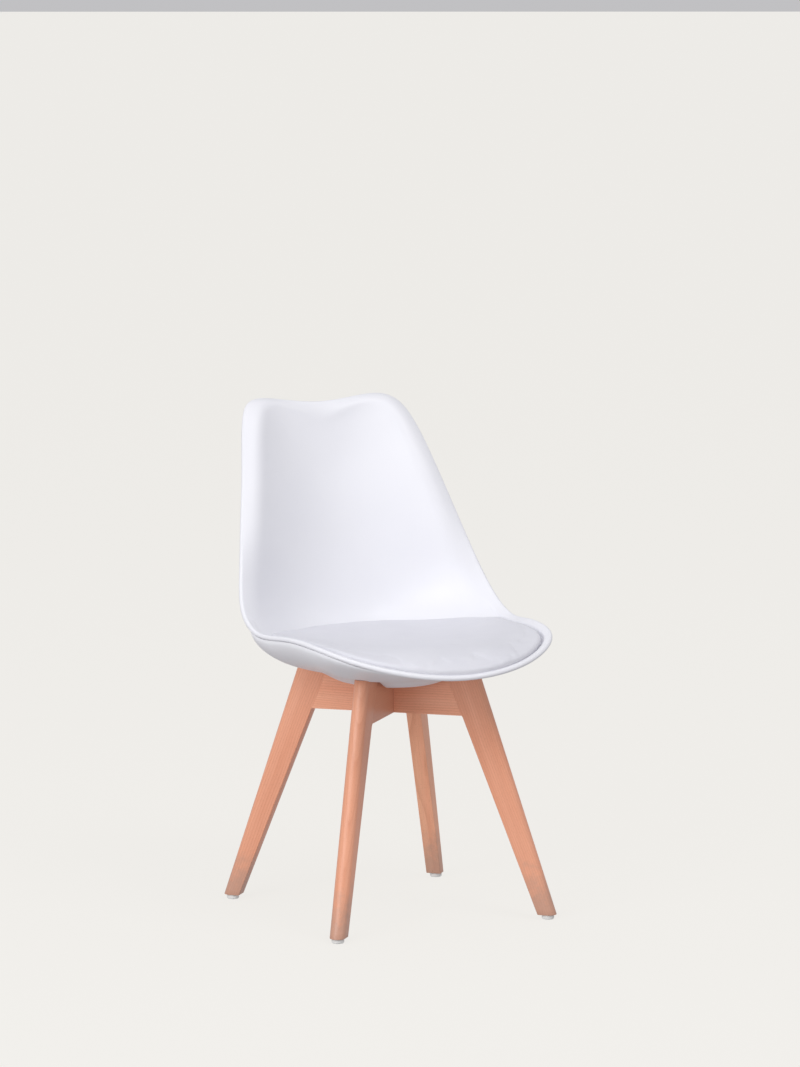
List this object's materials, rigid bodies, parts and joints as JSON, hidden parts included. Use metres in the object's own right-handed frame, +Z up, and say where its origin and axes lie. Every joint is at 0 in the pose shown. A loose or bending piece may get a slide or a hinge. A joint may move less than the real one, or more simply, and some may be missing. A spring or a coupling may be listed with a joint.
{
  "type": "dining chair",
  "caption": "Dining chair with a one-piece moulded plastic tub seat, thin padded cushion, cover under the seat, and a splayed beech cross frame on plastic glides.",
  "frame": {"origin": "on the floor under the middle of the chair's overall depth and width", "axes": "+Z up, +X to the sitter's left when the chair faces -Y (the viewer's right seen from the front), front of the seat towards -Y"},
  "size_m": [0.4748, 0.5299, 0.8259],
  "materials": {
    "shell_plastic": "satin white moulded plastic",
    "cover_plastic": "satin white moulded plastic",
    "cushion_leather": "white smooth coated upholstery, soft satin",
    "foam": "hidden cut foam",
    "board": "hidden moulded board",
    "beech": "clear satin lacquer on pinkish beech",
    "dowel_wood": "plain fluted beech dowel",
    "glide_plastic": "milky nylon",
    "zinc_steel": "bright zinc plated",
    "insert_brass": "plain brass"
  },
  "bodies": {
    "root": {"seat_shell": "shell_plastic", "underseat_cover": "cover_plastic", "cushion_cover": "cushion_leather", "cushion_foam": "foam", "cushion_board": "board", "leg_front_left": "beech", "leg_front_right": "beech", "leg_back_left": "beech", "leg_back_right": "beech", "cross_rail_lower": "beech", "cross_rail_upper": "beech", "leg_dowels": "dowel_wood", "glide_front_left": "glide_plastic", "glide_front_right": "glide_plastic", "glide_back_left": "glide_plastic", "glide_back_right": "glide_plastic", "glide_nails": "zinc_steel", "frame_bolts": "zinc_steel", "bolt_lock_washers": "zinc_steel", "bolt_flat_washers": "zinc_steel", "seat_inserts": "insert_brass", "cross_screw": "zinc_steel", "cover_screws": "zinc_steel"}
  },
  "joints": []
}
